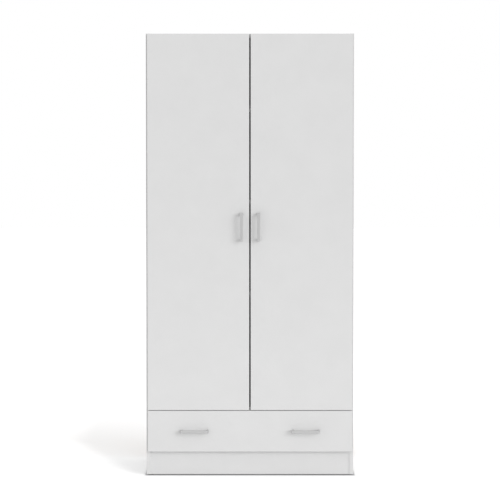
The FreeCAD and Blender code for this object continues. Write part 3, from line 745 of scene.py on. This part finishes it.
def hinge_adjusting_screws():
    """Low side-adjusting screws, in front of those that hold the arms."""
    proud = 0.8 * MM
    forward = Vector((0, -30 * MM, 0))
    arm_screw_limit = 10 * MM
    spots = [(top + way * (rise - proud) + forward, way)
             for top, way, head, rise, shank, length
             in fastener_spots("hinge_plate_screws")
             if length < arm_screw_limit]
    master = pan_screw(head=2.6 * MM, rise=proud, shank=1.8 * MM,
                       length=3 * MM, thread=0.5 * MM)
    place_piece("hinge_adjusting_screws",
                copies("hinge_adjusting_screws", master, spots),
                SCREW_STEEL, ["hinge_plate_screws"], added=True)


# ---- turned and moulded fittings -------------------------------------------

ROLLER_BORE = 2.28 * MM


def runner_rollers(node):
    """Nylon rollers with a crowned tread, side grooves and a hub."""
    spots = []
    for points in solids_of(node):
        low, high, middle = extent(points)
        spots.append((Vector((low.x, middle.y, middle.z)), Vector((1, 0, 0))))
        radius = (high.z - low.z) / 2
        width = high.x - low.x
    hub = ROLLER_BORE + 1.4 * MM
    slope = 0.4 * MM
    dish = 0.8 * MM
    rim = radius - 1.5 * MM
    crown = 0.35 * MM
    profile = [(ROLLER_BORE, 0), (hub, 0), (hub + slope, dish), (rim, dish),
               (rim + slope, 0), (radius - crown, 0),
               (radius, 2 * crown), (radius, width - 2 * crown),
               (radius - crown, width), (rim + slope, width),
               (rim, width - dish), (hub + slope, width - dish),
               (hub, width), (ROLLER_BORE, width), (ROLLER_BORE, 0)]
    master = mesh_from("roller", lathe(profile, 48))
    place_piece(node + "_moulded", copies(node + "_moulded", master, spots),
                NYLON, [node])


def floor_glides():
    """Nail-in glides: a rounded nylon disc on a steel pin."""
    spots = []
    for points in solids_of("floor_glides"):
        low, high, middle = extent(points)
        spots.append((Vector((middle.x, middle.y, 0)), Vector((0, 0, 1))))
        radius = (high.x - low.x) / 2
        top = high.z
    disc, rounding = 3.0 * MM, 1.4 * MM
    pin, point = 1.2 * MM, 2 * MM
    sole = arc((radius - rounding, rounding), rounding, 270, 360, 6)
    profile = [(0, 0)] + sole + [(radius, disc), (pin, disc),
                                 (pin, top - point), (0, top)]
    master = mesh_from("glide", lathe(profile, 40))
    place_piece("floor_glides_moulded",
                copies("floor_glides_moulded", master, spots),
                GLIDE_NYLON, ["floor_glides"])


def door_bumpers():
    """Soft clear dots that the doors close on."""
    spots = []
    for points in solids_of("door_bumpers"):
        low, high, middle = extent(points)
        spots.append((Vector((middle.x, high.y, middle.z)),
                      Vector((0, -1, 0))))
        radius = (high.x - low.x) / 2
        rise = high.y - low.y
    skirt = 0.25
    dome = [(radius * math.cos(math.radians(a)),
             rise * (skirt + (1 - skirt) * math.sin(math.radians(a))))
            for a in range(0, 90, 12)]
    profile = [(0, 0), (radius, 0)] + dome + [(0, rise)]
    master = mesh_from("bumper", lathe(profile, 32))
    place_piece("door_bumpers_cast",
                copies("door_bumpers_cast", master, spots),
                CLEAR, ["door_bumpers"])


def oval_ring(shape, x, middle, half_height, half_width, segments=24):
    """Ring of corners of an upright oval at one x."""
    ring = []
    reach = half_height - half_width
    for step in range(2 * segments):
        angle = math.pi * step / segments
        lift = reach if 0 <= angle < math.pi else -reach
        ring.append(shape.verts.new((
            x, middle.y + half_width * math.cos(angle),
            middle.z + lift + half_width * math.sin(angle))))
    return ring


def hanging_rail():
    """Chromed oval tube with open ends."""
    low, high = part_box("hanging_rail")
    middle = (low + high) / 2
    wall = 1.0 * MM
    shape = bmesh.new()
    rings = [oval_ring(shape, x, middle, (high.z - low.z) / 2 - inset,
                       (high.y - low.y) / 2 - inset)
             for x, inset in ((low.x, 0), (high.x, 0), (high.x, wall),
                              (low.x, wall))]
    for one, other in zip(rings, rings[1:] + rings[:1]):
        for i, vert in enumerate(one):
            after = (i + 1) % len(one)
            shape.faces.new([vert, one[after], other[after], other[i]])
    place_piece("hanging_rail_tube", mesh_from("hanging_rail_tube", shape),
                CHROME, ["hanging_rail"])


# ---- the whole wardrobe ----------------------------------------------------

STAMPED_EDGE = 0.25 * MM
CAST_EDGE = 0.3 * MM

build_boards()
for handle, metal in (("left_door_handle", UPRIGHT_SATIN),
                      ("right_door_handle", UPRIGHT_SATIN),
                      ("drawer_left_handle", SHADED_LEVEL_SATIN),
                      ("drawer_right_handle", SHADED_LEVEL_SATIN)):
    handle_piece(handle, metal)
for screws in ("fitting_screws", "hinge_plate_screws", "cabinet_rail_screws",
               "drawer_screws", "left_handle_screws", "right_handle_screws",
               "drawer_handle_screws", "left_cup_screws", "right_cup_screws"):
    fasteners(screws, pan_screw)
fasteners("back_panel_nails", wire_nail)
hinge_adjusting_screws()
runner_rollers("cabinet_rollers")
runner_rollers("drawer_rollers")
floor_glides()
door_bumpers()
hanging_rail()
for side in ("left", "right"):
    for part, metal in (("_hinge_cups", NICKEL), ("_hinge_arms", NICKEL),
                        ("_hinge_plates", NICKEL), ("_cabinet_rail", EPOXY),
                        ("_drawer_rail", EPOXY)):
        eased(side + part, metal, STAMPED_EDGE)
eased("wall_brackets", ZINC, CAST_EDGE)
eased("rail_sockets", PVC, CAST_EDGE)
for part, material in (("carcass_cam_locks", ZINC),
                       ("carcass_cam_bolts", ZINC),
                       ("drawer_cam_locks", ZINC), ("drawer_cam_bolts", ZINC),
                       ("shelf_pins", SCREW_STEEL), ("back_joint_strip", PVC),
                       ("carcass_dowels", BEECH), ("drawer_dowels", BEECH)):
    dress(part, material)

# ---- studio ----------------------------------------------------------------

ROOM_LIGHT = 0.756
FLOOR_REACH = 30.0
FLOOR_GAIN = 1.37
FLOOR_WHITE = (0.92, 0.94)
# Painted contact shadow: close to the footprint the camera sees the floor darker, and it
# clears sooner at the sides.
PAINTED_CONTACT_WIDTH = 0.04
PAINTED_CONTACT_GAIN = 0.6
SIDE_HASTE = 3              # the floor clears this much sooner at the sides
# Painted glow: past a slanted line beside the left side, past the right side and far out
# to the left, the floor glows for the camera only and whitens the cast shade.
SHADE_SLANT = 0.3
LIFT_WIDTH, LIFT = 0.1, 0.12
FAR_START, FAR_WIDTH, FAR_LIFT = 0.3, 0.12, 0.09
KEY_AZIMUTH = 45.0
KEY_HEIGHT = 15.0
KEY_SPREAD = 35.0
KEY_STRENGTH = 1.08
FILL_POWER = 0.48
FILL_SIZE = (2.0, 0.4)
FILL_PLACE = (0, -1.0, 0.22)
CAMERA_HEIGHT = 1.3
CAMERA_DISTANCE = 8.7
CAMERA_PITCH = 2.487
CAMERA_LENS = 154.25
CAMERA_SIDE = 0.0003


def studio_floor():
    """Matt white floor, exposed so that it clips to white where the key lands.

    The camera sees it brighter than it lights the cabinet. Close to the
    footprint it is darkened by a painted contact shadow, and past the sides a
    painted glow, seen by the camera only, whitens the cast shade so that it
    stays near the cabinet.
    """
    material, tree, place = blank("studio_floor")
    seen = add(tree, "ShaderNodeLightPath").outputs["Is Camera Ray"]
    half_width = (cad_high[0] - cad_low[0]) / 2
    half_depth = -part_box("plinth_front")[0].y
    mirrored = add(tree, "ShaderNodeVectorMath", {"operation": "ABSOLUTE"},
                   links={0: place})
    beyond = add(tree, "ShaderNodeVectorMath", {"operation": "SUBTRACT"},
                 {1: (half_width, half_depth, 0)},
                 {0: mirrored.outputs["Vector"]})
    outside = add(tree, "ShaderNodeVectorMath", {"operation": "MAXIMUM"},
                  {1: (0, 0, 0)}, {0: beyond.outputs["Vector"]})
    hastened = add(tree, "ShaderNodeVectorMath", {"operation": "MULTIPLY"},
                   {1: (SIDE_HASTE, 1, 1)}, {0: outside.outputs["Vector"]})
    distance = add(tree, "ShaderNodeVectorMath", {"operation": "LENGTH"},
                   links={0: hastened.outputs["Vector"]})
    # Painted contact shadow: the camera's gain on the floor drops close to the footprint.
    floor_gain_and_painted_contact_shade = add(tree, "ShaderNodeMapRange",
                   {"interpolation_type": "SMOOTHSTEP"},
                   {"From Max": PAINTED_CONTACT_WIDTH, "To Min": PAINTED_CONTACT_GAIN,
                    "To Max": FLOOR_GAIN},
                   {"Value": distance.outputs["Value"]})
    gain = add(tree, "ShaderNodeMapRange", values={"To Min": 1.0},
               links={"Value": seen, "To Max": floor_gain_and_painted_contact_shade.outputs["Result"]})
    haze = add(tree, "ShaderNodeMapRange",
               values={**NOISE_RANGE, "To Min": FLOOR_WHITE[0],
                       "To Max": FLOOR_WHITE[1]},
               links={"Value": grain(tree, place, 800 * MM)})
    white = add(tree, "ShaderNodeMath", {"operation": "MULTIPLY"},
                links={0: haze.outputs["Result"], 1: gain.outputs["Result"]})
    paper = add(tree, "ShaderNodeBsdfDiffuse",
                links={"Color": white.outputs["Value"]})
    # Painted glow: the floor glows for the camera past the sides, so the key's cast shade
    # is cut off near the cabinet.
    painted_glow_ramps = []
    for way, start, width, lift in (
            ((-1, -SHADE_SLANT, 0), half_width + SHADE_SLANT * half_depth,
             LIFT_WIDTH, LIFT),
            ((1, 0, 0), half_width, LIFT_WIDTH, LIFT),
            ((-1, 0, 0), half_width + FAR_START, FAR_WIDTH, FAR_LIFT)):
        reach = add(tree, "ShaderNodeVectorMath",
                    {"operation": "DOT_PRODUCT"}, {1: way}, {0: place})
        ramp = add(tree, "ShaderNodeMapRange",
                   {"interpolation_type": "SMOOTHSTEP"},
                   {"From Min": start, "From Max": start + width,
                    "To Max": lift}, {"Value": reach.outputs["Value"]})
        painted_glow_ramps.append(ramp.outputs["Result"])
    painted_glow = painted_glow_ramps[0]
    for lift in painted_glow_ramps[1:]:
        painted_glow = add(tree, "ShaderNodeMath", {"operation": "MAXIMUM"},
                     links={0: painted_glow, 1: lift}).outputs["Value"]
    shown = add(tree, "ShaderNodeMath", {"operation": "MULTIPLY"},
                links={0: painted_glow, 1: seen})
    glow = add(tree, "ShaderNodeEmission",
               links={"Strength": shown.outputs["Value"]})
    both = add(tree, "ShaderNodeAddShader",
               links={0: paper.outputs["BSDF"], 1: glow.outputs["Emission"]})
    add(tree, "ShaderNodeOutputMaterial", links={"Surface": both.outputs[0]})
    shape = bmesh.new()
    bmesh.ops.create_grid(shape, x_segments=8, y_segments=8, size=FLOOR_REACH)
    data = mesh_from("studio_floor", shape)
    data.materials.append(material)
    floor = bpy.data.objects.new("studio_floor", data)
    bpy.context.scene.collection.objects.link(floor)


def studio_light():
    """White surroundings, a soft key from the front right and a low fill.

    The key is left out of reflections, so that no panel glares.
    """
    world = bpy.data.worlds.new("studio")
    world.use_nodes = True
    tree = world.node_tree
    sky = tree.nodes["Background"]
    sky.inputs["Color"].default_value = linear("#FFFFFF")
    seen = add(tree, "ShaderNodeLightPath").outputs["Is Camera Ray"]
    strength = add(tree, "ShaderNodeMapRange",
                   values={"To Min": ROOM_LIGHT, "To Max": 1.0},
                   links={"Value": seen})
    tree.links.new(strength.outputs["Result"], sky.inputs["Strength"])
    bpy.context.scene.world = world
    azimuth, height = math.radians(KEY_AZIMUTH), math.radians(KEY_HEIGHT)
    way = Vector((math.sin(azimuth) * math.cos(height),
                  -math.cos(azimuth) * math.cos(height), math.sin(height)))
    lamp = bpy.data.lights.new("key", "SUN")
    lamp.angle = math.radians(KEY_SPREAD)
    lamp.energy = KEY_STRENGTH
    key = bpy.data.objects.new("key", lamp)
    key.rotation_euler = way.to_track_quat("Z", "Y").to_euler()
    key.visible_glossy = False
    bpy.context.scene.collection.objects.link(key)
    panel = bpy.data.lights.new("low_fill", "AREA")
    panel.shape = "RECTANGLE"
    panel.size, panel.size_y = FILL_SIZE
    panel.energy = FILL_POWER
    fill = bpy.data.objects.new("low_fill", panel)
    fill.location = FILL_PLACE
    fill.rotation_euler = (math.radians(90), 0, 0)
    fill.visible_camera = False
    bpy.context.scene.collection.objects.link(fill)


def studio_camera():
    """Long lens straight in front, a little above the middle."""
    lens = bpy.data.cameras.new("camera")
    lens.lens = CAMERA_LENS
    lens.clip_start, lens.clip_end = 0.1, 100
    camera = bpy.data.objects.new("camera", lens)
    door_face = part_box("left_door_panel")[0].y
    camera.location = (CAMERA_SIDE, door_face - CAMERA_DISTANCE, CAMERA_HEIGHT)
    camera.rotation_euler = (math.radians(90 - CAMERA_PITCH), 0, 0)
    bpy.context.scene.collection.objects.link(camera)
    bpy.context.scene.camera = camera


studio_floor()
studio_light()
studio_camera()
scene = bpy.context.scene
scene.view_settings.view_transform = "Standard"
scene.view_settings.look = "None"
